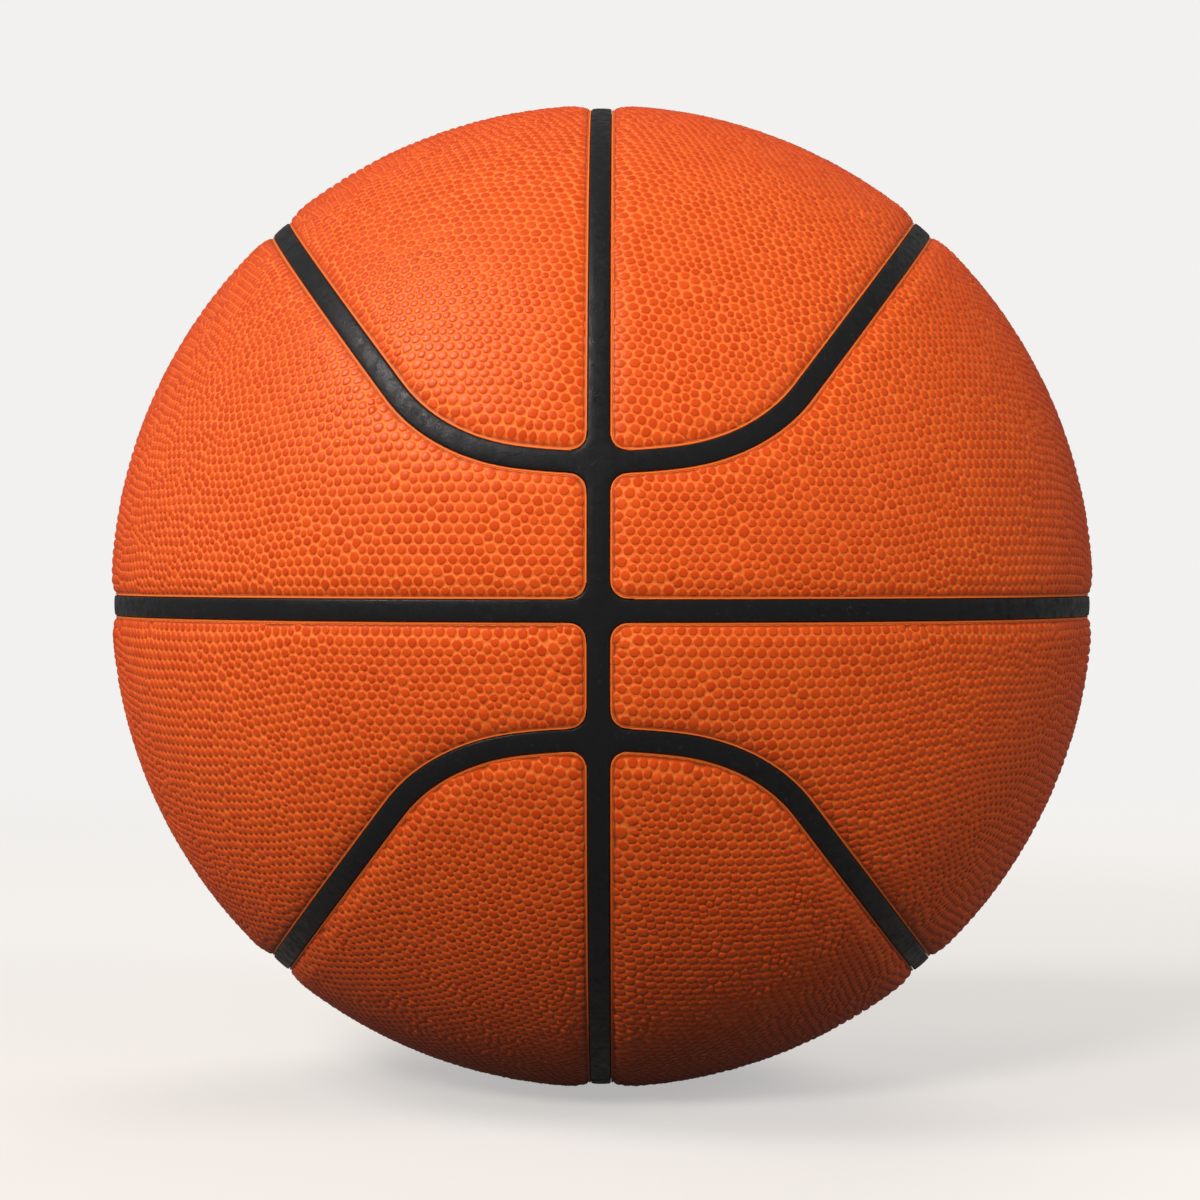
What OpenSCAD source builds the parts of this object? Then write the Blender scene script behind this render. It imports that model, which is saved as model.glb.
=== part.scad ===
// Size 7 basketball: eight cover panels laid between the raised seam ribs of a hollow,
// thread-wound ball, with an air-tight bladder and a needle valve inside.
// The origin is the centre of the ball, +Z is up and -Y is the front.

/* [Ball] */
// Diameter over the crest of the cover panels
ball_d = 243; // [150:1:260]

/* [Seams] */
// Distance between two panel edges across a seam
seam_w = 5; // [3:0.1:7]
// Depth of the seam rib's face below the crest of the panels
rib_drop = 0.9; // [0.3:0.05:1.3]
// Depth of a panel's edge below its crest, where it rolls down to the rib
edge_drop = 1.1; // [0.4:0.05:1.3]
// Width of the band along a panel's edge that rolls down
roll_w = 6.5; // [3:0.1:9]
// Radius of the rounded panel corners where seams cross
corner_r = 3.8; // [2:0.1:5]
// Gap between the side of a rib and the edge of a panel
rib_fit = 0.15; // [0.05:0.05:0.4]

/* [Seam layout] */
// Distance that the equator seam lies below the middle of the ball
equator_down = 2.1; // [0:0.1:2.3]
// Latitude of a loop seam where it crosses the upright seam, in degrees
loop_front_lat = 14.2; // [12:0.1:17]
// Latitude of a loop seam at the side of the ball, in degrees
loop_side_lat = 48.9; // [46:0.1:52]
// Angular radius of the loop's flat front stretch
front_arc = 40.6; // [38:0.1:44]
// Angular radius of the loop's bend
bend_arc = 20.4; // [18:0.1:22]
// Angular radius of the loop's long side stretch
side_arc = 93.7; // [92:0.1:95]

/* [Layers] */
// Thickness of the pebbled cover
cover_t = 1.4; // [1.4:0.05:2]
// Thickness of the foam sheet under each cover panel
backing_t = 0.8; // [0.4:0.05:1.5]
// Distance that a foam sheet stops short of its panel's edge
backing_inset = 1; // [0.2:0.1:2]
// Thickness of the rubber carcass
carcass_t = 1; // [0.6:0.05:2]
// Thickness of the thread winding
winding_t = 0.5; // [0.3:0.05:1.5]
// Thickness of the bladder
bladder_t = 0.8; // [0.5:0.05:1.5]
// Thickness of the cement between two layers
cement_t = 0.05; // [0.02:0.01:0.1]

/* [Valve] */
// Angle of the valve from the upright seam at the back, in degrees
valve_lon = 11; // [8:0.5:20]
// Latitude of the valve, in degrees
valve_lat = 7.1; // [5.5:0.1:8.5]
// Diameter of the needle bore
needle_bore_d = 2; // [1.6:0.1:2.4]
// Depth of the needle bore, down to its pointed end over the closed slit
needle_bore_len = 12; // [8:0.5:14]
// Diameter of the plug's shank
plug_d = 5; // [4.4:0.1:6]
// Diameter of the plug's round head at the ball's surface
plug_head_d = 6.4; // [6.2:0.1:7]
// Height of the plug's head
plug_head_h = 1; // [0.6:0.1:2]
// Diameter of the barb that keeps the plug in its boot
plug_barb_d = 7; // [6.2:0.1:8]
// Height of the barb
plug_barb_h = 1.6; // [1:0.1:3]
// Depth of the valve's face below the crest of the panels
valve_recess = 0.4; // [0.1:0.05:1]
// Outer diameter of the rubber boot
boot_d = 9; // [8.4:0.1:10]
// Length of the boot's barrel below its flange
boot_barrel_len = 8; // [5:0.5:10]
// Diameter of the boot's flange inside the bladder
boot_flange_d = 24; // [16:0.5:30]
// Thickness of the flange
boot_flange_t = 1; // [0.6:0.1:2]
// Gap around the boot's neck and around the plug
valve_fit = 0.1; // [0.05:0.05:0.3]
// Diameter of the patch that is bonded over the flange
patch_d = 36; // [26:1:45]
// Thickness of the patch
patch_t = 0.6; // [0.4:0.1:1]
// Diameter of the balance patch opposite the valve
balance_d = 26; // [16:1:40]
// Thickness of the balance patch
balance_t = 2.2; // [1:0.1:4]

/* [Hidden] */
$fn = 180;

ball_r = ball_d / 2;
backing_r = ball_r - cover_t - cement_t;
carcass_r = backing_r - backing_t - cement_t;
winding_r = carcass_r - carcass_t - cement_t;
bladder_r = winding_r - winding_t - cement_t;
lining_r = bladder_r - bladder_t - cement_t;

// Cutters reach past the ball by this much
overrun = ball_r / 10;

// The roll of a panel's edge as two straight bevels: where they meet, and how far the
// second one rises past the crest so that it breaks cleanly through it
roll_knee_share = 0.42;
knee_drop_share = 0.3;
crest_break_share = 0.12;
// Along the upright seam the edges drop a little less, so that two rolls cross cleanly
upright_drop_share = 0.95;
upright_drop = edge_drop * upright_drop_share;

// Angle that a length along the surface of the ball spans at its centre
function span(len) = len / ball_r * 180 / PI;
function unit(v) = v / norm(v);
function flip_x(v) = [-v[0], v[1], v[2]];
function flip_y(v) = [v[0], -v[1], v[2]];
function across(v, axis) = unit(v - (v * axis) * axis);
function turned(v, axis, a) = v * cos(a) + cross(axis, v) * sin(a) + axis * (axis * v) * (1 - cos(a));

// A loop seam is a chain of arcs on the ball, each a circle about an axis through its centre:
// a front stretch, a bend and a side stretch, then the same again mirrored to the back.
// Neighbouring arcs meet at a small angle, so that their walls cross cleanly.
arc_kink = 2.5;
arc_overlap = 1.5;
// A corner's circle crosses the walls beside it at this angle
corner_kink = 6;
front_tilt = loop_front_lat + front_arc;
front_axis = [0, -cos(front_tilt), sin(front_tilt)];
front_down = [0, -sin(front_tilt), -cos(front_tilt)];
side_tilt = loop_side_lat + side_arc;
side_axis = [cos(side_tilt), 0, sin(side_tilt)];

// Turn of the ribs' own shell about the y axis, which puts its poles inside panels
pole_tilt = 22;
// All that lies past a wall is taken as a wedge of two such angles
wedge_step = 40;

// Cosine of the distance between the axes of two arcs that meet at the kink's angle
function axis_gap(ra, rb) = cos(ra) * cos(rb) + sin(ra) * sin(rb) * cos(arc_kink);

// Unit vector whose dot products with a and b are p and q, on the side that cross(a, b) points to
function placed_at(a, p, b, q) =
  let (
    g = a * b,
    flat = ((p - q * g) * a + (q - p * g) * b) / (1 - g * g)
  )
  flat + sqrt(1 - flat * flat) * unit(cross(a, b));

bend_axis = placed_at(front_axis, axis_gap(front_arc, bend_arc), side_axis, axis_gap(side_arc, bend_arc));
front_end = placed_at(front_axis, cos(front_arc), bend_axis, cos(bend_arc));
side_end = placed_at(side_axis, cos(side_arc), bend_axis, cos(bend_arc));

// Direction of the valve's axis, out of the upper right band panel at the back
valve_dir = [cos(valve_lat) * sin(valve_lon), cos(valve_lat) * cos(valve_lon), sin(valve_lat)];

module shell(r_out, t) {
  difference() {
    sphere(r_out);
    sphere(r_out - t);
  }
}

// The upper right quarter of its children, with a flat upright wall and a flat floor
module quarter(wall, floor) {
  intersection() {
    children();
    translate([wall, -2 * ball_r, floor]) cube([2 * ball_r, 4 * ball_r, 2 * ball_r]);
  }
}

// Turns its children so that their z axis runs along z_dir and their x axis towards x_dir
module aimed(z_dir, x_dir) {
  x = across(x_dir, z_dir);
  y = cross(z_dir, x);
  multmatrix([
    [x[0], y[0], z_dir[0], 0],
    [x[1], y[1], z_dir[1], 0],
    [x[2], y[2], z_dir[2], 0],
    [0, 0, 0, 1]
  ]) children();
}

// Sweeps a section about an axis, with the section's own y axis at the given angle from it
module arc_sweep(axis, radius, from, to) {
  x = across(from, axis);
  sweep = atan2(across(to, axis) * cross(axis, x), across(to, axis) * x);
  aimed(axis, x) rotate_extrude(angle = sweep) intersection() {
    rotate(-radius) children();
    translate([0, -2 * ball_r]) square([2 * ball_r, 4 * ball_r]);
  }
}

module front_sweep() {
  end = turned(front_end, front_axis, arc_overlap);
  arc_sweep(front_axis, front_arc, flip_x(end), end) children();
}

module bend_sweep() {
  from = turned(front_end, bend_axis, -arc_overlap);
  arc_sweep(bend_axis, bend_arc, from, turned(side_end, bend_axis, arc_overlap)) children();
}

module side_sweep() {
  from = turned(side_end, side_axis, -arc_overlap);
  arc_sweep(side_axis, side_arc, from, flip_y(from)) children();
}

// In a section, y is the distance from the centre and x runs across the seam
function polar(r, a) = r * [sin(a), cos(a)];

// All that lies past the angle a across the seam
module past(a) {
  far = ball_r + 5 * overrun;
  polygon([[0, 0], polar(far, a), polar(far, a + wedge_step), polar(far, a + 2 * wedge_step)]);
}

// What the rolled edge of a panel leaves free, on the +x side of the seam
module roll_section(drop) {
  wall = span(seam_w / 2);
  knee = span(seam_w / 2 + roll_w * roll_knee_share);
  crest = span(seam_w / 2 + roll_w * (1 + crest_break_share));
  top = ball_r + overrun;
  polygon([
    polar(top, 0),
    polar(ball_r - drop, 0),
    polar(ball_r - drop, wall),
    polar(ball_r - drop * knee_drop_share, knee),
    polar(ball_r + drop * crest_break_share, crest),
    polar(top, crest)
  ]);
}

// The roll of an edge on the upper side of a seam at a latitude, to be swept round the z axis
module ring_section(drop, lat) {
  rotate(90 + lat) mirror([0, 1]) roll_section(drop);
}

// A shell with that roll taken out of its outside
module rolled_shell(r_out, t, drop, lat) {
  rotate_extrude() difference() {
    intersection() {
      difference() {
        circle(r_out);
        circle(r_out - t);
      }
      translate([0, -2 * ball_r]) square([2 * ball_r, 4 * ball_r]);
    }
    ring_section(drop, lat);
  }
}

// Takes its second child away from its first
module less() {
  difference() {
    children(0);
    children(1);
  }
}

// Takes a section along the front half of the upper loop seam away from the first child
module less_front() {
  less() {
    less() {
      children(0);
      front_sweep() children(1);
    }
    bend_sweep() children(1);
  }
}

// The same along the back half
module less_back() {
  less() {
    less() {
      children(0);
      mirror([0, 1, 0]) front_sweep() children(1);
    }
    mirror([0, 1, 0]) bend_sweep() children(1);
  }
}

// Takes a section along the whole upper loop seam away from the first child
module less_loop() {
  less() {
    less_back() {
      less_front() {
        children(0);
        children(1);
      }
      children(1);
    }
    side_sweep() children(1);
  }
}

// The spandrel that rounds a panel's corner: near is the corner circle's centre, and edge_a
// and edge_b point from it to the two seams
module corner_cut(near, edge_a, edge_b, grow) {
  x = across(edge_a, near);
  y = cross(near, x);
  b = across(edge_b, near);
  b_flat = [b * x, b * y];
  reach = corner_r + seam_w / 4;
  apex = corner_r + seam_w / 2;
  rim = span(corner_r + grow) / cos(corner_kink);
  aimed(near, x) difference() {
    linear_extrude(ball_r + overrun) polygon([
      [0, 0],
      [reach, 0],
      apex * ([1, 0] + b_flat),
      reach * b_flat
    ]);
    cylinder(r1 = 0, r2 = (ball_r + 2 * overrun) * tan(rim), h = ball_r + 2 * overrun);
  }
}

// Centre of a corner circle that touches the upright seam and the loop seam's front stretch
function loop_corner(inward) =
  let (
    inset = span(corner_r + seam_w / 2),
    u = cos(front_arc - inward * inset),
    s = sin(inset)
  )
  s * [1, 0, 0] + u * front_axis + sqrt(1 - s * s - u * u) * front_down;

// A band lies above the equator seam, whose middle is at the height rise
function seam_lat(rise) = asin(rise / ball_r);

function equator_corner(rise) =
  let (
    inset = span(corner_r + seam_w / 2),
    s = sin(inset),
    z = sin(inset + seam_lat(rise))
  )
  [s, -sqrt(1 - s * s - z * z), z];

module corner_pair(near, edge_b, grow) {
  for (m = [0, 1]) mirror([0, m, 0]) corner_cut(near, [-1, 0, 0], edge_b, grow);
}

// The right-hand half of the upper cap, cut out of the shell that it is given with upright
// walls and round corners: grow moves its walls out over the seams
module cap_blank(grow) {
  off = seam_w / 2 - grow;
  less() {
    less_loop() {
      quarter(off, off) children();
      past(-span(off));
    }
    corner_pair(loop_corner(1), -front_axis, grow);
  }
}

// The right-hand half of the upper band, between the loop seam and the equator seam
module band_blank(grow, rise) {
  off = seam_w / 2 - grow;
  less() {
    less() {
      less() {
        quarter(off, off + rise) children();
        less_loop() {
          quarter(0, 0) shell(ball_r + 2 * overrun, 5 * overrun);
          past(span(off));
        }
      }
      corner_pair(equator_corner(rise), [0, 0, -1], grow);
    }
    corner_pair(loop_corner(-1), front_axis, grow);
  }
}

module cap_panel() {
  less_loop() {
    cap_blank(0) rotate([0, 90, 0]) rolled_shell(ball_r, cover_t, upright_drop, 0);
    mirror([1, 0]) roll_section(edge_drop);
  }
}

module band_panel(rise) {
  less() {
    less_loop() {
      band_blank(0, rise) rolled_shell(ball_r, cover_t, edge_drop, seam_lat(rise));
      roll_section(edge_drop);
    }
    rotate([0, 90, 0]) rotate_extrude() ring_section(upright_drop, 0);
  }
}

module cap_backing() {
  cap_blank(-backing_inset) shell(backing_r, backing_t);
}

module band_backing(rise) {
  band_blank(-backing_inset, rise) shell(backing_r, backing_t);
}

// Places a piece of the upper right quarter: side is 0 for right and 1 for left, level is 0
// for upper and 1 for lower
module laid(side, level) {
  mirror([side, 0, 0]) mirror([0, 0, level]) children();
}

// Height of the equator seam as a band of that level sees it before it is placed
function rise_at(level) = (2 * level - 1) * equator_down;

module along_valve() {
  aimed(valve_dir, [0, 0, 1]) children();
}

module valve_hole() {
  along_valve() cylinder(d = boot_d + 2 * valve_fit, h = ball_r + overrun);
}

module panel_color() {
  color("#d4561e") children();
}

module backing_color() {
  color("#e3ddc8") children();
}

module upper_cap_right_panel() {
  panel_color() laid(0, 0) cap_panel();
}

module upper_cap_left_panel() {
  panel_color() laid(1, 0) cap_panel();
}

module lower_cap_right_panel() {
  panel_color() laid(0, 1) cap_panel();
}

module lower_cap_left_panel() {
  panel_color() laid(1, 1) cap_panel();
}

module upper_band_right_panel() {
  panel_color() difference() {
    laid(0, 0) band_panel(rise_at(0));
    valve_hole();
  }
}

module upper_band_left_panel() {
  panel_color() laid(1, 0) band_panel(rise_at(0));
}

module lower_band_right_panel() {
  panel_color() laid(0, 1) band_panel(rise_at(1));
}

module lower_band_left_panel() {
  panel_color() laid(1, 1) band_panel(rise_at(1));
}

module upper_cap_right_backing() {
  backing_color() laid(0, 0) cap_backing();
}

module upper_cap_left_backing() {
  backing_color() laid(1, 0) cap_backing();
}

module lower_cap_right_backing() {
  backing_color() laid(0, 1) cap_backing();
}

module lower_cap_left_backing() {
  backing_color() laid(1, 1) cap_backing();
}

module upper_band_right_backing() {
  backing_color() difference() {
    laid(0, 0) band_backing(rise_at(0));
    valve_hole();
  }
}

module upper_band_left_backing() {
  backing_color() laid(1, 0) band_backing(rise_at(0));
}

module lower_band_right_backing() {
  backing_color() laid(0, 1) band_backing(rise_at(1));
}

module lower_band_left_backing() {
  backing_color() laid(1, 1) band_backing(rise_at(1));
}

// Thick enough to reach through the ribs
module cutting_shell() {
  shell(ball_r + overrun, 3 * overrun);
}

// The network of raised ribs that the panels are laid between. The shell that it is cut from
// is turned so that the poles of its two spheres fall inside panels.
module seam_ribs() {
  rib_r = ball_r - rib_drop;
  color("#1b1b1c") difference() {
    rotate([0, pole_tilt, 0]) shell(rib_r, rib_r - carcass_r - cement_t);
    for (side = [0, 1], level = [0, 1]) laid(side, level) cap_blank(rib_fit) cutting_shell();
    for (side = [0, 1], level = [0, 1]) {
      laid(side, level) band_blank(rib_fit, rise_at(level)) cutting_shell();
    }
  }
}

module carcass() {
  color("#2a2a2b") difference() {
    shell(carcass_r, carcass_t);
    valve_hole();
  }
}

module thread_winding() {
  color("#d8d4c6") difference() {
    shell(winding_r, winding_t);
    valve_hole();
  }
}

module bladder() {
  color("#3a3734") difference() {
    shell(bladder_r, bladder_t);
    valve_hole();
  }
}

// A round piece of sheet that follows the inside of the bladder
module curved_disc(r_out, t, d) {
  intersection() {
    shell(r_out, t);
    cylinder(d = d, h = ball_r);
  }
}

flange_bottom = lining_r - boot_flange_t;
barrel_bottom = flange_bottom - boot_barrel_len;
valve_face = ball_r - valve_recess;
barb_bottom = barrel_bottom - valve_fit - plug_barb_h;
bore_bottom = valve_face - needle_bore_len;

module valve_boot() {
  seat_d = plug_head_d + 2 * valve_fit;
  color("#141414") along_valve() difference() {
    union() {
      curved_disc(lining_r, boot_flange_t, boot_flange_d);
      translate([0, 0, barrel_bottom]) cylinder(d = boot_d, h = valve_face - barrel_bottom);
    }
    cylinder(d = plug_d + 2 * valve_fit, h = ball_r);
    translate([0, 0, valve_face - plug_head_h - valve_fit]) cylinder(d = seat_d, h = ball_r);
  }
}

module valve_plug() {
  color("#3c3c3e") along_valve() difference() {
    union() {
      translate([0, 0, barb_bottom]) cylinder(d1 = plug_d, d2 = plug_barb_d, h = plug_barb_h);
      translate([0, 0, barb_bottom]) cylinder(d = plug_d, h = valve_face - barb_bottom);
      translate([0, 0, valve_face - plug_head_h]) cylinder(d = plug_head_d, h = plug_head_h);
    }
    translate([0, 0, bore_bottom]) cylinder(d = needle_bore_d, h = needle_bore_len + overrun);
    translate([0, 0, bore_bottom - needle_bore_d / 2]) {
      cylinder(r1 = 0, r2 = needle_bore_d / 2, h = needle_bore_d / 2);
    }
  }
}

module valve_patch() {
  color("#4a4641") along_valve() difference() {
    curved_disc(flange_bottom - cement_t, patch_t, patch_d);
    cylinder(d = boot_d + 2 * valve_fit, h = ball_r);
  }
}

module balance_patch() {
  color("#4a4641") mirror(valve_dir) along_valve() curved_disc(lining_r, balance_t, balance_d);
}

upper_cap_right_panel();
upper_cap_left_panel();
lower_cap_right_panel();
lower_cap_left_panel();
upper_band_right_panel();
upper_band_left_panel();
lower_band_right_panel();
lower_band_left_panel();
upper_cap_right_backing();
upper_cap_left_backing();
lower_cap_right_backing();
lower_cap_left_backing();
upper_band_right_backing();
upper_band_left_backing();
lower_band_right_backing();
lower_band_left_backing();
seam_ribs();
carcass();
thread_winding();
bladder();
valve_boot();
valve_plug();
valve_patch();
balance_patch();
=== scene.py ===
"""Looks of a size 7 basketball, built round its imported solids.

Pebbled cover panels with a lip along their edges, the black seam ribs between them, the valve, and
the layers inside. Metres, origin at the middle of the ball, +Z up, front towards -Y.
"""

import math

import bmesh
import bpy
import numpy as np
from mathutils import Euler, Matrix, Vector
from mathutils.kdtree import KDTree


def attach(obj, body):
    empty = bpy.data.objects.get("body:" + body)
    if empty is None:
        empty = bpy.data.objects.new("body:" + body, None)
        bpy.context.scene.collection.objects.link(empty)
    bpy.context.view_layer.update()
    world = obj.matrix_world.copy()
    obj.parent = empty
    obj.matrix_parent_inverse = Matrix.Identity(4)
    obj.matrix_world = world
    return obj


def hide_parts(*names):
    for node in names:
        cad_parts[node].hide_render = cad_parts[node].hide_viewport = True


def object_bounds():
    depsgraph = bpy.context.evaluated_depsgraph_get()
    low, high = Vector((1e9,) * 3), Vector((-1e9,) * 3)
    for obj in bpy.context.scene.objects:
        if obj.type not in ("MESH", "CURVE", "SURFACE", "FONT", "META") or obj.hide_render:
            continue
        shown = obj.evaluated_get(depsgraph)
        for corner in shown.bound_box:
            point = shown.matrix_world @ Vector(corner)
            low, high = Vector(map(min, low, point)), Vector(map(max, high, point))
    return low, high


bl_info = {
    "name": "Basketball",
    "version": (1, 0, 0),
    "blender": (4, 5, 0),
    "location": "View3D > Sidebar > Basketball",
    "description": "Builds the cover, seams, valve and layers of a basketball",
    "category": "Object",
}

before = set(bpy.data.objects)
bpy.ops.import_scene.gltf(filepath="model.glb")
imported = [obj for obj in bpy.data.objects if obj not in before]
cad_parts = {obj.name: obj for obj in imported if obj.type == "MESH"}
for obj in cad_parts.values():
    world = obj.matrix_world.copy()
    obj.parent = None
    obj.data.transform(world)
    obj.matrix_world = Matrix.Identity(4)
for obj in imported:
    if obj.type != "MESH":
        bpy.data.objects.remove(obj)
CAD_LOW, CAD_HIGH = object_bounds()

MM = 0.001
CAP, BAND = "cap", "band"
SIDES = {"right": 1, "left": -1}
LEVELS = {"upper": 1, "lower": -1}

# A point's place between a pebble's top, at 0, and the middle of the valley round it, at 0.5.
CROWN_ZONE = (0.0, 0.25)  # falls gently from the top to the rim
WALL_ZONE = (0.24, 0.48)  # falls steeply from the rim to the valley
SWELL_ZONE = (0.0, 0.2)  # drawn outwards more and more
SETTLE_ZONE = (0.27, 0.38)  # and less and less
CROWN_DROP, WALL_DROP = 0.3, 0.7  # shares of a pebble's height
SWELL = 0.46  # how far points are drawn outwards, as a share of their distance from the top
RIM_HEIGHTS = (0.6, 0.9)  # the mesh is crisp between points of these heights
LOWEST_TOP = 0.8  # the lowest pebble's height as a share of the tallest one's
PEBBLE_REACH = (0.45, 0.6)  # in pitches, where a pebble far from its neighbours fades out
CLEAR_OF_EDGE = 2.4  # in lip widths, the nearest a top comes to a panel's edge

# Rows of points along a panel's edge: lip widths inwards, pebble heights down, share of crease
# shade, which is painted shade in the groove and along the edge by the rib.
LIP_ROWS = ((0, 0.5, 0.6), (1, 0.3, 0.0), (2, 0.85, 1.0))
ROLL_CURVE = 2.2
RIB_ROW, RIB_EDGE = 0.35 * MM, 0.6 * MM  # second row of a rib's points, and its rounded edge

SNAP_REACH = 0.6  # in pitches, how near an outline corners of the net are drawn onto it
SLIM_AREA = 0.1075  # in square pitches, a quarter of an even triangle
CROWD_REACH, CROWDED = 2, 0.66  # in pitches, the rows drawn towards a border, and how close
SETTLE_ROUNDS = 3
PANEL_CUTS, RIB_CUTS = 3, 2

MIX_SHARE, MIX_A, MIX_B, MIX_RESULT = 0, 6, 7, 2  # colour sockets of a Mix node
GLANCING_SHARE = 0.12  # of the pale backdrop, in the rubber's reflections


def length(name, description, default):
    return bpy.props.FloatProperty(
        name=name, description=description, default=default, min=0.0, precision=5, unit="LENGTH"
    )


def angle(name, description, degrees):
    return bpy.props.FloatProperty(
        name=name, description=description, default=math.radians(degrees), subtype="ANGLE"
    )


def share(name, description, default, top=1.0):
    return bpy.props.FloatProperty(
        name=name, description=description, default=default, min=0.0, max=top
    )


def colour(name, description, hex_code):
    return bpy.props.FloatVectorProperty(
        name=name,
        description=description,
        default=linear(hex_code),
        size=4,
        min=0.0,
        max=1.0,
        subtype="COLOR",
    )


def linear(hex_code):
    """A web colour as linear red, green, blue and alpha."""
    parts = [int(hex_code[i : i + 2], 16) / 255 for i in (1, 3, 5)]
    light = [c / 12.92 if c <= 0.04045 else ((c + 0.055) / 1.055) ** 2.4 for c in parts]
    return (*light, 1.0)


class BallSizes(bpy.types.PropertyGroup):
    """Sizes that the cover and the seams share."""

    diameter: length("Diameter", "Over the tops of the pebbles", 243 * MM)
    cover: length("Cover", "Thickness of the cover panels", 1.4 * MM)
    seam_width: length("Seam width", "Between two panel edges", 5.0 * MM)
    seam_gap: length("Crease", "Gap between a rib and a panel edge", 0.15 * MM)
    rib_drop: length("Rib drop", "Rib face below the crest of the panels", 0.9 * MM)
    rib_root: length("Rib root", "Radius of the rib's underside", 119.25 * MM)
    edge_drop: length("Edge drop", "Panel edge below its crest", 1.1 * MM)
    roll_width: length("Roll width", "Band along a panel's edge that rolls down", 6.5 * MM)
    corner_radius: length("Corner radius", "Rounded panel corners", 3.8 * MM)
    equator_down: length("Equator", "Equator seam below the ball's middle", 2.1 * MM)
    front_latitude: angle("Front latitude", "Loop seam at the upright seam", 14.2)
    side_latitude: angle("Side latitude", "Loop seam at the side of the ball", 48.9)
    front_arc: angle("Front arc", "Angular radius of the loop's front", 40.6)
    bend_arc: angle("Bend arc", "Angular radius of the loop's bend", 20.4)
    side_arc: angle("Side arc", "Angular radius of the loop's side", 93.7)
    valve_longitude: angle("Valve longitude", "From the upright seam at the back", 11.0)
    valve_latitude: angle("Valve latitude", "Above the equator seam", 7.1)
    valve_hole: length("Valve hole", "Radius of the opening round the valve", 4.6 * MM)


class CoverFinish(bpy.types.PropertyGroup):
    """Pebbles, lip and colours of the cover."""

    rows: bpy.props.IntProperty(
        name="Pebble rows", description="Rows along an edge of the pebble net", default=31, min=8
    )
    relief: length("Relief", "Height of a pebble", 0.64 * MM)
    scatter: share("Scatter", "How irregular the pebbles lie, in pitches", 0.17)
    lip: length("Lip", "Width of the plain lip along a panel's edge", 0.3 * MM)
    dome: colour("Dome", "Colour of the pebbles", "#d0420a")
    dome_warm: colour("Warm dome", "Colour of the lighter pebbles", "#e25416")
    # The crease colour is painted shade: it darkens the groove inside the lip and the panel's edge
    # by the rib.
    crease_shade: colour("Crease", "Colour of the thin line inside a panel's lip", "#962806")
    # The valley colour is lighter than the pebbles' as a painted highlight, standing in for the lit
    # rims between them.
    valley: colour("Valley", "Colour between the pebbles", "#ff8438")
    seed: bpy.props.IntProperty(name="Seed", description="Scatter of the pebbles", default=11)


class SeamFinish(bpy.types.PropertyGroup):
    """Shape and colours of the seam ribs."""

    edge_round: length("Rounding", "Drop of a rib's rounded edge", 0.22 * MM)
    rubber: colour("Rubber", "Colour of the ribs", "#121316")
    dust: colour("Dust", "Colour of the specks on the ribs", "#54524f")


class LayerFinish(bpy.types.PropertyGroup):
    """Colours of the valve and of the layers inside."""

    foam: colour("Foam", "Backing sheets", "#e3ddc8")
    carcass: colour("Carcass", "Moulded rubber shell", "#2a2a2b")
    thread: colour("Thread", "Nylon winding", "#d8d4c6")
    bladder: colour("Bladder", "Butyl bladder", "#3a3734")
    boot: colour("Boot", "Valve boot", "#141414")
    plug: colour("Plug", "Valve plug", "#3c3c3e")
    patch: colour("Patch", "Bonded patches", "#4a4641")


class StageSettings(bpy.types.PropertyGroup):
    """Floor, lights and camera."""

    floor: colour("Floor", "Colour of the floor", "#f2f1ef")
    distance: share("Distance", "Camera distance in ball radii", 6.3, 20.0)
    elevation: angle("Elevation", "Camera above the ball's middle", 0.5)
    azimuth: angle("Azimuth", "Camera round towards the right", 0.37)
    roll: angle("Roll", "Camera turned about its axis", 0.04)


def unit(v):
    return v / np.linalg.norm(v, axis=-1, keepdims=True)


def rounded_min(a, b, radius):
    """The smaller of two distances from edges, with the corner between the edges rounded."""
    corner = radius - np.hypot(radius - a, radius - b)
    return np.where((a < radius) & (b < radius), corner, np.minimum(a, b))


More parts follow.
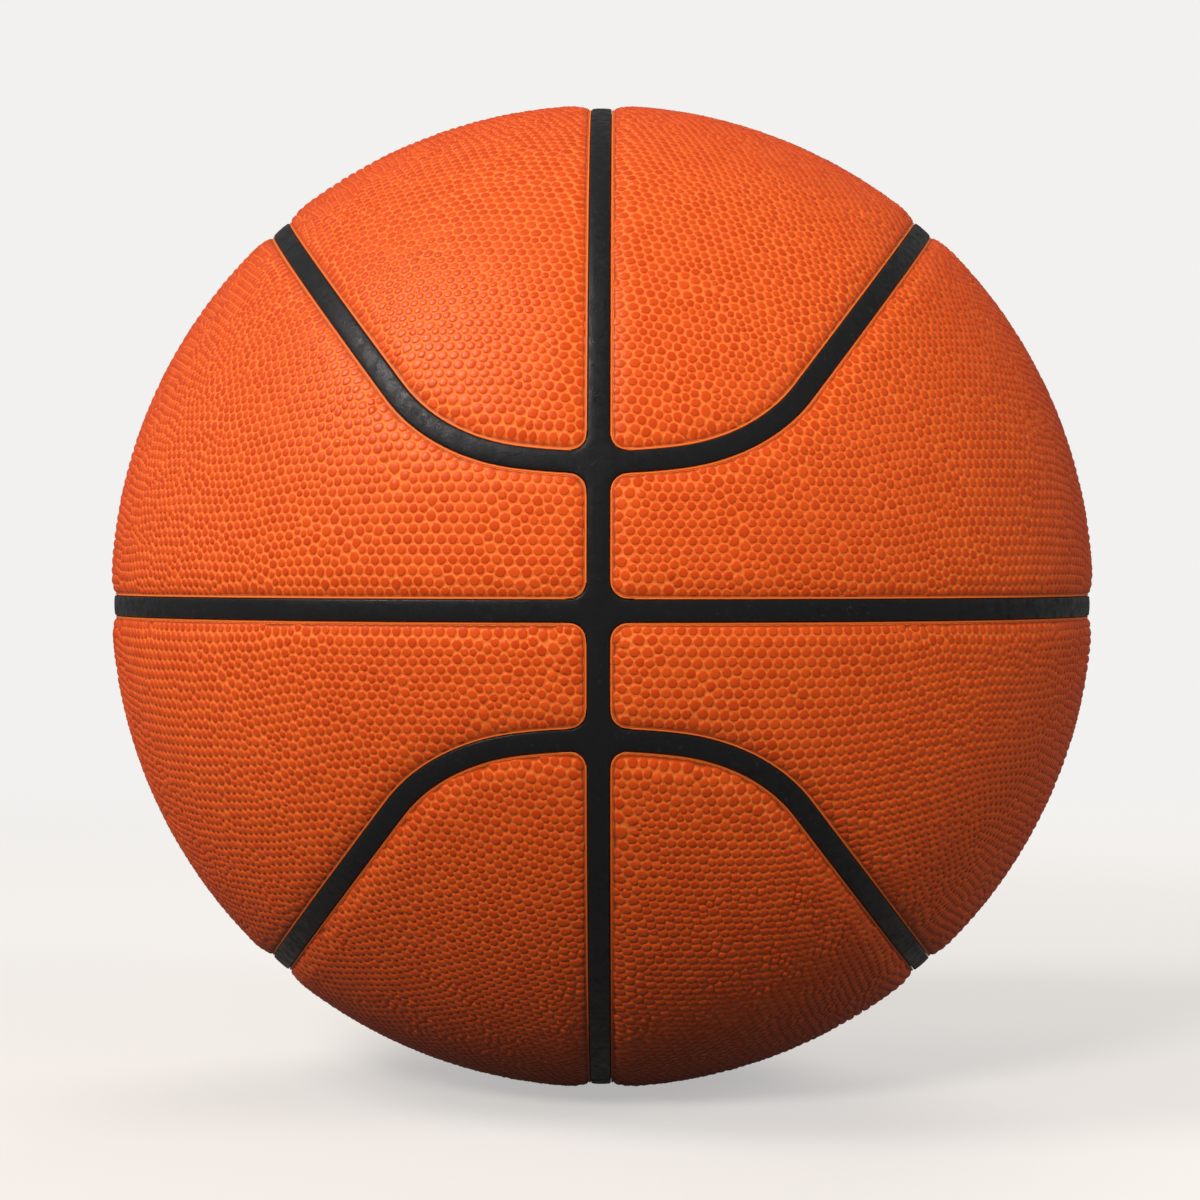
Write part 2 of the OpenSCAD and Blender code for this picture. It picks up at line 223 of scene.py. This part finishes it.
class SeamLayout:
    """Distances on the ball's surface from its seams, in metres, for arrays of unit vectors."""

    def __init__(self, sizes):
        self.sizes = sizes
        self.radius = sizes.diameter / 2
        front, bend, side = sizes.front_arc, sizes.bend_arc, sizes.side_arc
        tilt = sizes.front_latitude + front
        self.front_axis = np.array([0, -math.cos(tilt), math.sin(tilt)])
        tilt = sizes.side_latitude + side
        self.side_axis = np.array([math.cos(tilt), 0, math.sin(tilt)])
        near_front, near_side = math.cos(front - bend), math.cos(side - bend)
        between = self.front_axis @ self.side_axis
        base = (near_front - near_side * between) * self.front_axis
        base = (base + (near_side - near_front * between) * self.side_axis) / (1 - between**2)
        out = unit(np.cross(self.front_axis, self.side_axis))
        self.bend_axis = base + math.sqrt(1 - base @ base) * out
        front_point = np.array(
            [0, -math.cos(sizes.front_latitude), math.sin(sizes.front_latitude)]
        )
        side_point = np.array([math.cos(sizes.side_latitude), 0, math.sin(sizes.side_latitude)])
        self.front_wall = self.facing(np.cross(self.front_axis, self.bend_axis), front_point)
        self.side_wall = self.facing(np.cross(self.side_axis, self.bend_axis), side_point)
        lat, lon = sizes.valve_latitude, sizes.valve_longitude
        self.valve = np.array(
            [math.cos(lat) * math.sin(lon), math.cos(lat) * math.cos(lon), math.sin(lat)]
        )

    @staticmethod
    def facing(normal, point):
        return normal if normal @ point > 0 else -normal

    def from_loop(self, q):
        """Distance from a loop seam's middle line, negative on the side of its pole."""
        p = np.abs(q) * [1, -1, 1]

        def past(axis, arc):
            return np.arccos(np.clip(p @ axis, -1, 1)) - arc

        s = self.sizes
        on_side = np.where(
            p @ self.side_wall > 0,
            past(self.side_axis, s.side_arc),
            past(self.bend_axis, s.bend_arc),
        )
        return self.radius * np.where(
            p @ self.front_wall > 0, past(self.front_axis, s.front_arc), on_side
        )

    def from_panel(self, q, side, level, kind):
        """Distance inside a panel's outline, negative outside it."""
        half = self.sizes.seam_width / 2
        upright = self.radius * np.arcsin(np.clip(side * q[:, 0], -1, 1)) - half
        down = math.asin(self.sizes.equator_down / self.radius)
        equator = self.radius * level * (np.arcsin(np.clip(q[:, 2], -1, 1)) + down) - half
        loop = self.from_loop(q) * (1 if kind == BAND else -1) - half
        return rounded_min(upright, np.minimum(equator, loop), self.sizes.corner_radius)

    def from_rib(self, q):
        """Distance inside the rib network's outline."""
        folded = np.column_stack((np.abs(q[:, 0]), q[:, 1:]))
        panels = [
            self.from_panel(folded, 1, level, kind)
            for level in LEVELS.values()
            for kind in (CAP, BAND)
        ]
        return -np.max(panels, axis=0) - self.sizes.seam_gap

    def from_valve(self, q):
        return self.radius * np.arccos(np.clip(q @ self.valve, -1, 1)) - self.sizes.valve_hole

    def slid(self, q, inset, target):
        """Moves points along the surface until their inset is the target."""
        step = 1e-5
        for _ in range(3):
            across = unit(np.cross(q, [0.31, 0.52, 0.79]))
            along = np.cross(q, across)
            here = inset(q)
            slope_a = (inset(unit(q + step * across)) - here) / step
            slope_b = (inset(unit(q + step * along)) - here) / step
            steep = np.maximum(slope_a**2 + slope_b**2, (0.3 * self.radius) ** 2)
            move = ((target - here) / steep)[:, None]
            q = unit(q + move * (slope_a[:, None] * across + slope_b[:, None] * along))
        return q


def points(bm):
    return np.array([v.co for v in bm.verts], float)


def place(bm, coordinates):
    for v, co in zip(bm.verts, coordinates):
        v.co = co


def pebble_net(rows):
    """An even triangle net on the unit sphere: each corner becomes the top of a pebble."""
    net = bmesh.new()
    bmesh.ops.create_icosphere(net, subdivisions=2, radius=1.0)
    bmesh.ops.subdivide_edges(net, edges=net.edges[:], cuts=rows - 1, use_grid_fill=True)
    place(net, unit(points(net)))
    return net


def net_pitch(net):
    """Mean distance between neighbouring corners of the net on the unit sphere."""
    return math.sqrt(4 * math.pi / len(net.verts) * 2 / math.sqrt(3))


def cut_sheet(net, layout, inset, pitch):
    """The part of the net inside an outline, with its border drawn onto the outline."""
    bm = net.copy()
    reach = SNAP_REACH * pitch * layout.radius
    depth = inset(points(bm))
    outside = [v for v, d in zip(bm.verts, depth) if d < -reach]
    bmesh.ops.delete(bm, geom=outside, context="VERTS")
    q = points(bm)
    near = np.abs(inset(q)) < reach
    q[near] = layout.slid(q[near], inset, 0.0)
    place(bm, q)
    bm.verts.index_update()
    bm.faces.index_update()
    corners = np.array([[v.index for v in f.verts] for f in bm.faces])
    middle = inset(unit(q[corners].mean(axis=1)))
    spans = np.cross(q[corners[:, 1]] - q[corners[:, 0]], q[corners[:, 2]] - q[corners[:, 0]])
    area = np.linalg.norm(spans, axis=1) / 2
    slim = near[corners].all(axis=1) & (area < SLIM_AREA * pitch**2)
    drop = [f for f, gone in zip(bm.faces, (middle < 0) | slim) if gone]
    bmesh.ops.delete(bm, geom=drop, context="FACES")
    loose = [v for v in bm.verts if not v.link_faces]
    bmesh.ops.delete(bm, geom=loose, context="VERTS")
    return bm


def crowd_border(bm, layout, inset, pitch):
    """Draws the rows of corners beside the border towards it, so that pebbles reach the lip."""
    q = points(bm)
    depth = inset(q)
    reach = CROWD_REACH * pitch * layout.radius
    near = (depth > 0.2 * reach) & (depth < reach)
    closer = CROWDED + (1 - CROWDED) * depth[near] / reach
    q[near] = layout.slid(q[near], inset, depth[near] * closer)
    place(bm, q)


def is_border(v):
    return any(e.is_boundary for e in v.link_edges)


def relax_sheet(bm, layout, inset, pitch, scatter, seed):
    """Scatters the corners and lets them settle, so that they pack like pebbles."""
    border = np.array([is_border(v) for v in bm.verts])
    q = points(bm)
    rng = np.random.default_rng(seed)
    kick = rng.normal(0, max(scatter, 1e-9) * pitch, q.shape)
    q[~border] += kick[~border]
    place(bm, unit(q))
    for _ in range(SETTLE_ROUNDS):
        if scatter > 0:
            bmesh.ops.beautify_fill(bm, faces=bm.faces[:], edges=bm.edges[:], method="ANGLE")
        for _ in range(SETTLE_ROUNDS):
            bmesh.ops.smooth_vert(
                bm, verts=bm.verts[:], factor=0.5, use_axis_x=True, use_axis_y=True, use_axis_z=True
            )
            q = unit(points(bm))
            q[border] = layout.slid(q[border], inset, 0.0)
            place(bm, q)


def solid_from_sheet(bm, root, cuts):
    """Gives the sheet an underside at the share root of its radius, and a finer face."""
    made = bmesh.ops.extrude_face_region(bm, geom=bm.faces[:], use_keep_orig=True)
    under = {e for e in made["geom"] if isinstance(e, bmesh.types.BMVert)}
    for v in under:
        v.co *= root
    bmesh.ops.recalc_face_normals(bm, faces=bm.faces[:])
    face_edges = [e for e in bm.edges if not (e.verts[0] in under or e.verts[1] in under)]
    bmesh.ops.subdivide_edges(bm, edges=face_edges, cuts=cuts, use_grid_fill=True)
    bm.verts.index_update()


def rows_from_border(bm, on_face, count):
    """Index arrays of the face's border points and of the rows of points beside them."""
    walls = [f for f in bm.faces if len({bool(on_face[v.index]) for v in f.verts}) == 2]
    row = {v for f in walls for v in f.verts if on_face[v.index]}
    seen, rows = set(row), [sorted(v.index for v in row)]
    for _ in range(count):
        row = {e.other_vert(v) for v in row for e in v.link_edges} - seen
        row = {v for v in row if on_face[v.index]}
        seen |= row
        rows.append(sorted(v.index for v in row))
    return [np.array(r, int) for r in rows]


def smooth_step(x, low, high):
    t = np.clip((x - low) / (high - low), 0, 1)
    return t * t * (3 - 2 * t)


def finished(bm, name, material, values=None, rim=None):
    """The mesh as a piece of the ball, with attributes, and crisp between its rim's points."""
    mesh = bpy.data.meshes.new(name)
    bm.to_mesh(mesh)
    bm.free()
    for label, numbers in (values or {}).items():
        layer = mesh.attributes.new(label, "FLOAT", "POINT")
        layer.data.foreach_set("value", np.asarray(numbers, np.float32))
    mesh.shade_smooth()
    if rim is not None:
        ends = np.zeros(2 * len(mesh.edges), np.int32)
        mesh.edges.foreach_get("vertices", ends)
        crisp = mesh.attributes.new("sharp_edge", "BOOLEAN", "EDGE")
        crisp.data.foreach_set("value", rim[ends.reshape(-1, 2)].all(axis=1))
    piece = bpy.data.objects.new(name, mesh)
    bpy.context.scene.collection.objects.link(piece)
    mesh.materials.append(material)
    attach(piece, "root")
    return piece


def roll_drop(depth, sizes):
    """How far a panel has rolled down at a distance inside its edge."""
    t = np.clip(depth / sizes.roll_width, 0, 1)
    return sizes.edge_drop * (1 - t) ** ROLL_CURVE


def pebble_tops(bm, inset, clear):
    """Unit vectors of the net's corners that carry a pebble."""
    q = unit(points(bm))
    return q[inset(q) > clear]


def pebbles(q, tops, pitch):
    """Each point's place drawn out round the nearest top, its height, and that top's number."""
    tree = KDTree(len(tops))
    for i, top in enumerate(tops):
        tree.insert(top, i)
    tree.balance()
    found = [tree.find_n(p, 2) for p in q]
    near = np.array([f[0][1] for f in found])
    first = np.array([f[0][2] for f in found])
    second = np.array([f[1][2] for f in found])
    between = first / (first + second)
    fade_from, fade_to = (reach * pitch for reach in PEBBLE_REACH)
    swell = smooth_step(between, *SWELL_ZONE) * (1 - smooth_step(between, *SETTLE_ZONE))
    grow = np.where(first < fade_from, 1 + SWELL * swell, 1)
    moved = unit(tops[near] + (q - tops[near]) * grow[:, None])
    crown, wall = smooth_step(between, *CROWN_ZONE), smooth_step(between, *WALL_ZONE)
    height = 1 - CROWN_DROP * crown - WALL_DROP * wall
    height *= 1 - smooth_step(first, fade_from, fade_to)
    return moved, height, near


def cover_panel(net, pitch, layout, finish, side, level, kind, holed):
    """A pebbled panel as a closed solid mesh with its pebble heights and tints."""
    sizes = layout.sizes
    radius = layout.radius
    numbers = (SIDES[side], LEVELS[level], kind)

    def seam_inset(q):
        return layout.from_panel(q, *numbers)

    def inset(q):
        depth = seam_inset(q)
        return np.minimum(depth, layout.from_valve(q)) if holed else depth

    seed = finish.seed + 2 * SIDES[side] + 5 * LEVELS[level] + 11 * (kind == CAP)
    bm = cut_sheet(net, layout, inset, pitch)
    relax_sheet(bm, layout, inset, pitch, finish.scatter, abs(seed))
    crowd_border(bm, layout, inset, pitch)
    tops = pebble_tops(bm, inset, CLEAR_OF_EDGE * finish.lip)
    root = 1 - sizes.cover / radius
    solid_from_sheet(bm, root, PANEL_CUTS)
    q = points(bm)
    on_face = np.linalg.norm(q, axis=1) > (1 + root) / 2
    q = unit(q)
    rows = rows_from_border(bm, on_face, len(LIP_ROWS) - 1)
    free = on_face.copy()
    # lip holds each point's share of the painted crease shade, in the groove inside the lip and at
    # the edge by the rib.
    lip = np.zeros(len(q))
    for row, (inwards, _, crease_shade) in zip(rows, LIP_ROWS):
        q[row] = layout.slid(q[row], inset, inwards * finish.lip)
        free[row] = False
        lip[row] = crease_shade
    dome, tint = np.zeros(len(q)), np.full(len(q), 0.5)
    rng = np.random.default_rng(abs(seed) + 100)
    top_tint = rng.uniform(0, 1, len(tops))
    top_height = rng.uniform(LOWEST_TOP, 1, len(tops))
    q[free], dome[free], nearest = pebbles(q[free], tops, pitch)
    tint[free] = top_tint[nearest]
    rise = dome.copy()
    rise[free] *= top_height[nearest]
    roll = roll_drop(seam_inset(q), sizes)
    height = radius - roll - finish.relief * (1 - rise)
    for row, (_, down, _) in zip(rows, LIP_ROWS):
        height[row] = radius - roll[row] - down * finish.relief
    height[~on_face] = radius * root
    place(bm, q * height[:, None])
    return bm, {"dome": dome, "tint": tint, "lip": lip}


def rib_network(net, pitch, layout, finish):
    """The raised ribs as one closed solid mesh."""
    sizes = layout.sizes
    radius = layout.radius
    bm = cut_sheet(net, layout, layout.from_rib, pitch)
    relax_sheet(bm, layout, layout.from_rib, pitch, 0.0, 0)
    root = sizes.rib_root / radius
    solid_from_sheet(bm, root, RIB_CUTS)
    q = points(bm)
    on_face = np.linalg.norm(q, axis=1) > (1 + root) / 2
    q = unit(q)
    rows = rows_from_border(bm, on_face, 1)
    for row, target in zip(rows, (0.0, RIB_ROW)):
        q[row] = layout.slid(q[row], layout.from_rib, target)
    depth = layout.from_rib(q)
    edge = 1 - smooth_step(depth, 0, RIB_EDGE)
    height = radius - sizes.rib_drop - finish.edge_round * edge
    height[~on_face] = sizes.rib_root
    place(bm, q * height[:, None])
    return bm


def put_node(tree, kind, inputs=None, **settings):
    """Adds a shader node. An input is a value, or the output socket that feeds it."""
    made = tree.nodes.new(kind)
    for key, value in settings.items():
        setattr(made, key, value)
    for key, value in (inputs or {}).items():
        if isinstance(value, bpy.types.NodeSocket):
            tree.links.new(value, made.inputs[key])
        else:
            made.inputs[key].default_value = value
    return made


def new_material(name):
    """A material with its tree, its main shader and Object coordinates."""
    material = bpy.data.materials.new(name)
    material.use_nodes = True
    tree = material.node_tree
    shader = next(n for n in tree.nodes if n.type == "BSDF_PRINCIPLED")
    where = put_node(tree, "ShaderNodeTexCoord").outputs["Object"]
    return material, tree, shader, where


def noise(tree, where, scale, detail=2.0, roughness=0.5):
    inputs = {"Vector": where, "Scale": scale, "Detail": detail, "Roughness": roughness}
    return put_node(tree, "ShaderNodeTexNoise", inputs).outputs["Fac"]


def ramp(tree, value, low, high, to_low=0.0, to_high=1.0):
    inputs = {
        "Value": value,
        "From Min": low,
        "From Max": high,
        "To Min": to_low,
        "To Max": to_high,
    }
    return put_node(tree, "ShaderNodeMapRange", inputs).outputs["Result"]


def mixed(tree, share_of_b, a, b):
    inputs = {MIX_SHARE: share_of_b, MIX_A: a, MIX_B: b}
    return put_node(tree, "ShaderNodeMix", inputs, data_type="RGBA").outputs[MIX_RESULT]


def math_node(tree, operation, a, b=0.0):
    made = put_node(tree, "ShaderNodeMath", {0: a, 1: b}, operation=operation)
    return made.outputs[0]


def attribute(tree, name):
    return put_node(tree, "ShaderNodeAttribute", attribute_name=name).outputs["Fac"]


def bump(tree, shader, height, strength, distance):
    made = put_node(
        tree, "ShaderNodeBump", {"Height": height, "Strength": strength, "Distance": distance}
    )
    tree.links.new(made.outputs["Normal"], shader.inputs["Normal"])


def cover_material(finish):
    """Composite cover: redder pebbles in lighter valleys, softly worn. The lighter valleys are a
    painted highlight of the lit pebble rims.
    """
    material, tree, shader, where = new_material("pebbled_cover")
    dome, tint, lip = (attribute(tree, n) for n in ("dome", "tint", "lip"))
    tops = mixed(tree, tint, tuple(finish.dome), tuple(finish.dome_warm))
    # Painted highlight: the valleys get the lighter colour against the darker pebble tops, standing
    # in for the lit rims between the pebbles.
    body = mixed(tree, ramp(tree, dome, 0.0, 0.5), tuple(finish.valley), tops)
    # Painted shade: the crease colour darkens the groove inside the lip and the panel's edge by the
    # rib.
    body = mixed(tree, ramp(tree, lip, 0.1, 0.6, 0.0, 0.85), body, tuple(finish.crease_shade))
    clouds = noise(tree, where, 22.0, 3.0)
    shade = ramp(tree, clouds, 0.3, 0.7, 0.0, 0.22)
    body = mixed(tree, shade, body, linear("#cc4412"))
    tree.links.new(body, shader.inputs["Base Color"])
    grain = noise(tree, where, 3200.0, 3.0, 0.6)
    sheen = ramp(tree, dome, 0.0, 1.0, 0.58, 0.34)
    rough = math_node(tree, "ADD", sheen, ramp(tree, grain, 0.3, 0.7, -0.05, 0.07))
    tree.links.new(rough, shader.inputs["Roughness"])
    shader.inputs["IOR"].default_value = 1.7
    shader.inputs["Specular Tint"].default_value = linear("#ffe2c0")
    bump(tree, shader, grain, 0.35, 0.00005)
    return material


def rubber_material(name, tone, dust, roughness, grain_scale=2600.0, dust_amount=0.5):
    """Moulded rubber with a fine grain, uneven gloss and specks of dust."""
    material, tree, shader, where = new_material(name)
    grain = noise(tree, where, grain_scale, 4.0, 0.6)
    clouds = noise(tree, where, 60.0, 3.0)
    specks = noise(tree, where, 900.0, 2.0, 0.7)
    dusty = ramp(tree, specks, 0.62, 0.78, 0.0, dust_amount)
    dusty = math_node(tree, "MULTIPLY", dusty, ramp(tree, clouds, 0.35, 0.75))
    body = mixed(tree, dusty, tone, dust)
    tree.links.new(body, shader.inputs["Base Color"])
    worn = ramp(tree, clouds, 0.3, 0.7, roughness - 0.06, roughness + 0.06)
    rough = math_node(tree, "ADD", worn, ramp(tree, grain, 0.3, 0.7, -0.05, 0.06))
    scuffs = noise(tree, where, 420.0, 5.0, 0.75)
    rough = math_node(tree, "ADD", rough, ramp(tree, scuffs, 0.42, 0.66, 0.0, 0.34))
    tree.links.new(rough, shader.inputs["Roughness"])
    bump(tree, shader, grain, 0.7, 0.00012)
    return material


def foam_material(tone):
    """Closed-cell foam sheet."""
    material, tree, shader, where = new_material("foam_backing")
    cells = put_node(tree, "ShaderNodeTexVoronoi", {"Vector": where, "Scale": 1400.0})
    depth = cells.outputs["Distance"]
    body = mixed(tree, ramp(tree, depth, 0.1, 0.6), linear("#cfc8b2"), tone)
    tree.links.new(body, shader.inputs["Base Color"])
    shader.inputs["Roughness"].default_value = 0.85
    bump(tree, shader, depth, 0.5, 0.0001)
    return material


def thread_material(tone):
    """Nylon thread wound round the ball in crossing directions."""
    material, tree, shader, where = new_material("winding_thread")
    turns = ((0.0, 0.0, 0.0), (0.9, 0.3, 0.0), (0.2, 1.1, 0.6), (1.9, 0.5, 1.2))
    strands = None
    for turn in turns:
        turned = put_node(tree, "ShaderNodeMapping", {"Vector": where, "Rotation": turn})
        wave = put_node(
            tree,
            "ShaderNodeTexWave",
            {
                "Vector": turned.outputs["Vector"],
                "Scale": 320.0,
                "Distortion": 1.5,
                "Detail": 1.0,
            },
            bands_direction="X",
        ).outputs["Fac"]
        strands = wave if strands is None else math_node(tree, "MAXIMUM", strands, wave)
    body = mixed(tree, ramp(tree, strands, 0.6, 1.0), linear("#8f8a7c"), tone)
    tree.links.new(body, shader.inputs["Base Color"])
    shader.inputs["Roughness"].default_value = 0.55
    shader.inputs["Sheen Weight"].default_value = 0.2
    bump(tree, shader, strands, 0.6, 0.0002)
    return material


def dress(node, material):
    """Gives a solid of the frame its material."""
    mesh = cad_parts[node].data
    mesh.materials.clear()
    mesh.materials.append(material)


class BALL_OT_cover_panels(bpy.types.Operator):
    """Lays the eight pebbled cover panels"""

    bl_idname = "ball.cover_panels"
    bl_label = "Cover panels"

    def execute(self, context):
        finish = context.scene.ball_cover
        layout = SeamLayout(context.scene.ball_sizes)
        net = pebble_net(finish.rows)
        pitch = net_pitch(net)
        material = cover_material(finish)
        for level in LEVELS:
            for side in SIDES:
                for kind in (CAP, BAND):
                    name = f"{level}_{kind}_{side}_panel"
                    holed = name == "upper_band_right_panel"
                    bm, values = cover_panel(
                        net, pitch, layout, finish, side, level, kind, holed
                    )
                    low, high = RIM_HEIGHTS
                    rim = (values["dome"] > low) & (values["dome"] < high)
                    piece = finished(
                        bm, "pebbled_" + name, material, values, rim
                    )
                    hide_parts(name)
                    dress(name, material)
        net.free()
        return {"FINISHED"}


class BALL_OT_seam_ribs(bpy.types.Operator):
    """Moulds the rib network between the panels"""

    bl_idname = "ball.seam_ribs"
    bl_label = "Seam ribs"

    def execute(self, context):
        finish = context.scene.ball_seams
        layout = SeamLayout(context.scene.ball_sizes)
        net = pebble_net(context.scene.ball_cover.rows)
        material = rubber_material("seam_rubber", tuple(finish.rubber), tuple(finish.dust), 0.32)
        bm = rib_network(net, net_pitch(net), layout, finish)
        piece = finished(bm, "moulded_seam_ribs", material)
        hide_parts("seam_ribs")
        dress("seam_ribs", material)
        net.free()
        return {"FINISHED"}


class BALL_OT_valve(bpy.types.Operator):
    """Finishes the valve's boot and plug"""

    bl_idname = "ball.valve"
    bl_label = "Valve"

    def execute(self, context):
        finish = context.scene.ball_layers
        dust = linear("#55524e")
        dress("valve_boot", rubber_material("boot_rubber", tuple(finish.boot), dust, 0.55))
        dress("valve_plug", rubber_material("plug_rubber", tuple(finish.plug), dust, 0.42))
        return {"FINISHED"}


class BALL_OT_layers(bpy.types.Operator):
    """Finishes the layers under the cover"""

    bl_idname = "ball.layers"
    bl_label = "Inner layers"

    def execute(self, context):
        finish = context.scene.ball_layers
        chalk = linear("#8d8a84")
        foam = foam_material(tuple(finish.foam))
        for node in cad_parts:
            if node.endswith("_backing"):
                dress(node, foam)
        patch = rubber_material("patch_rubber", tuple(finish.patch), chalk, 0.7, 1500.0)
        carcass = rubber_material("carcass_rubber", tuple(finish.carcass), chalk, 0.62, 1200.0)
        bladder = rubber_material("bladder_rubber", tuple(finish.bladder), chalk, 0.38, 700.0, 0.8)
        dress("carcass", carcass)
        dress("bladder", bladder)
        dress("thread_winding", thread_material(tuple(finish.thread)))
        dress("valve_patch", patch)
        dress("balance_patch", patch)
        return {"FINISHED"}


class BALL_OT_stage(bpy.types.Operator):
    """Sets the floor, the lights and the camera"""

    bl_idname = "ball.stage"
    bl_label = "Stage"

    def execute(self, context):
        stage = context.scene.ball_stage
        radius = context.scene.ball_sizes.diameter / 2
        lay_floor(tuple(stage.floor))
        set_world(tuple(stage.floor))
        set_lights()
        set_camera(stage, radius)
        context.scene.view_settings.view_transform = "Standard"
        return {"FINISHED"}


def lay_floor(tone):
    """A pale floor that reads as a bright backdrop and keeps the ball's shadow."""
    bm = bmesh.new()
    bmesh.ops.create_grid(bm, x_segments=2, y_segments=2, size=6.0)
    bmesh.ops.translate(bm, vec=(0, 0, CAD_LOW.z), verts=bm.verts[:])
    mesh = bpy.data.meshes.new("floor")
    bm.to_mesh(mesh)
    bm.free()
    floor = bpy.data.objects.new("floor", mesh)
    bpy.context.scene.collection.objects.link(floor)
    material = bpy.data.materials.new("floor")
    material.use_nodes = True
    tree = material.node_tree
    tree.nodes.clear()
    seen = seen_rays(tree)
    where = put_node(tree, "ShaderNodeTexCoord").outputs["Object"]
    away = put_node(tree, "ShaderNodeVectorMath", {0: where}, operation="LENGTH").outputs["Value"]
    matt = put_node(tree, "ShaderNodeBsdfDiffuse", {"Color": linear("#4a4846")})
    lit = put_node(tree, "ShaderNodeBsdfDiffuse", {"Color": linear("#b0afad")})
    glow = put_node(tree, "ShaderNodeEmission", {"Color": tone, "Strength": 0.5})
    near = put_node(tree, "ShaderNodeAddShader", {0: lit.outputs[0], 1: glow.outputs[0]})
    far = put_node(tree, "ShaderNodeEmission", {"Color": tone, "Strength": 1.0})
    pale = put_node(
        tree,
        "ShaderNodeMixShader",
        {0: ramp(tree, away, 0.25, 1.1), 1: near.outputs[0], 2: far.outputs[0]},
    )
    both = put_node(
        tree, "ShaderNodeMixShader", {0: seen, 1: matt.outputs[0], 2: pale.outputs[0]}
    )
    put_node(tree, "ShaderNodeOutputMaterial", {"Surface": both.outputs[0]})
    mesh.materials.append(material)


def seen_rays(tree):
    """1 for rays from the camera and through glass, which show the pale backdrop, and a share of
    it for rays that glance off the rubber."""
    rays = put_node(tree, "ShaderNodeLightPath").outputs
    clear = math_node(tree, "MAXIMUM", rays["Is Camera Ray"], rays["Is Transmission Ray"])
    glancing = math_node(tree, "MULTIPLY", rays["Is Glossy Ray"], GLANCING_SHARE)
    return math_node(tree, "MAXIMUM", clear, glancing)


def set_world(tone):
    """A backdrop of the floor's tone that lights the ball only dimly."""
    world = bpy.data.worlds.new("studio")
    bpy.context.scene.world = world
    world.use_nodes = True
    tree = world.node_tree
    tree.nodes.clear()
    seen = seen_rays(tree)
    pale = put_node(tree, "ShaderNodeBackground", {"Color": tone, "Strength": 1.0})
    dim = put_node(
        tree, "ShaderNodeBackground", {"Color": linear("#e8e2dc"), "Strength": 0.12}
    )
    both = put_node(
        tree, "ShaderNodeMixShader", {0: seen, 1: dim.outputs[0], 2: pale.outputs[0]}
    )
    put_node(tree, "ShaderNodeOutputWorld", {"Surface": both.outputs[0]})


def set_lights():
    """Soft lamps round the ball. The crown lamp alone gives it gloss."""
    lamps = (
        ("key", (-0.58, -1.48, 0.74), 0.4, 20.4, "#fff8f0"),
        ("crown", (-0.9, -0.61, 1.18), 0.6, 11.0, "#fff6f2"),
        ("side", (1.15, -0.75, 0.75), 0.8, 8.8, "#fbf7f8"),
        ("rim", (-1.3, 0.3, 0.3), 0.6, 4.0, "#ffffff"),
        ("back", (0.4, 1.3, 0.9), 0.9, 13.0, "#fff8f0"),
    )
    for name, spot, size, power, tone in lamps:
        data = bpy.data.lights.new(name, "AREA")
        data.shape = "DISK"
        data.size = size
        data.energy = power
        data.color = linear(tone)[:3]
        lamp = bpy.data.objects.new(name, data)
        bpy.context.scene.collection.objects.link(lamp)
        lamp.location = spot
        lamp.rotation_euler = (-Vector(spot)).to_track_quat("-Z", "Y").to_euler()
        lamp.visible_glossy = name == "crown"


def set_camera(stage, radius):
    """The photograph's view: the ball's outline is 983 of its 1200 pixels wide."""
    image, outline, middle = 1200, 491.5, (602.0, 596.2)
    data = bpy.data.cameras.new("camera")
    camera = bpy.data.objects.new("camera", data)
    bpy.context.scene.collection.objects.link(camera)
    bpy.context.scene.camera = camera
    focal = outline * math.sqrt(stage.distance**2 - 1)
    data.sensor_width = 36.0
    data.lens = data.sensor_width * focal / image
    data.shift_x = (image / 2 - middle[0]) / image
    data.shift_y = (middle[1] - image / 2) / image
    data.clip_start, data.clip_end = 0.01, 50.0
    flat = math.cos(stage.elevation)
    back = Vector(
        (
            math.sin(stage.azimuth) * flat,
            -math.cos(stage.azimuth) * flat,
            math.sin(stage.elevation),
        )
    )
    camera.location = back * (stage.distance * radius)
    aim = (-back).to_track_quat("-Z", "Y")
    camera.rotation_euler = (aim @ Euler((0, 0, stage.roll)).to_quaternion()).to_euler()


class BALL_PT_build(bpy.types.Panel):
    """Lists the steps that build the ball"""

    bl_label = "Basketball"
    bl_space_type = "VIEW_3D"
    bl_region_type = "UI"
    bl_category = "Basketball"

    def draw(self, context):
        for operator in OPERATORS:
            self.layout.operator(operator.bl_idname)
        for name in SETTINGS:
            box = self.layout.box()
            group = getattr(context.scene, name)
            for key in group.__annotations__:
                box.prop(group, key)


SETTINGS = {
    "ball_sizes": BallSizes,
    "ball_cover": CoverFinish,
    "ball_seams": SeamFinish,
    "ball_layers": LayerFinish,
    "ball_stage": StageSettings,
}
OPERATORS = (
    BALL_OT_cover_panels,
    BALL_OT_seam_ribs,
    BALL_OT_valve,
    BALL_OT_layers,
    BALL_OT_stage,
)


def register():
    for cls in (*SETTINGS.values(), *OPERATORS, BALL_PT_build):
        bpy.utils.register_class(cls)
    for name, group in SETTINGS.items():
        setattr(bpy.types.Scene, name, bpy.props.PointerProperty(type=group))


def unregister():
    for name in SETTINGS:
        delattr(bpy.types.Scene, name)
    for cls in reversed((*SETTINGS.values(), *OPERATORS, BALL_PT_build)):
        bpy.utils.unregister_class(cls)


def main():
    register()
    bpy.ops.ball.cover_panels()
    bpy.ops.ball.seam_ribs()
    bpy.ops.ball.valve()
    bpy.ops.ball.layers()
    bpy.ops.ball.stage()


if __name__ == "__main__":
    main()
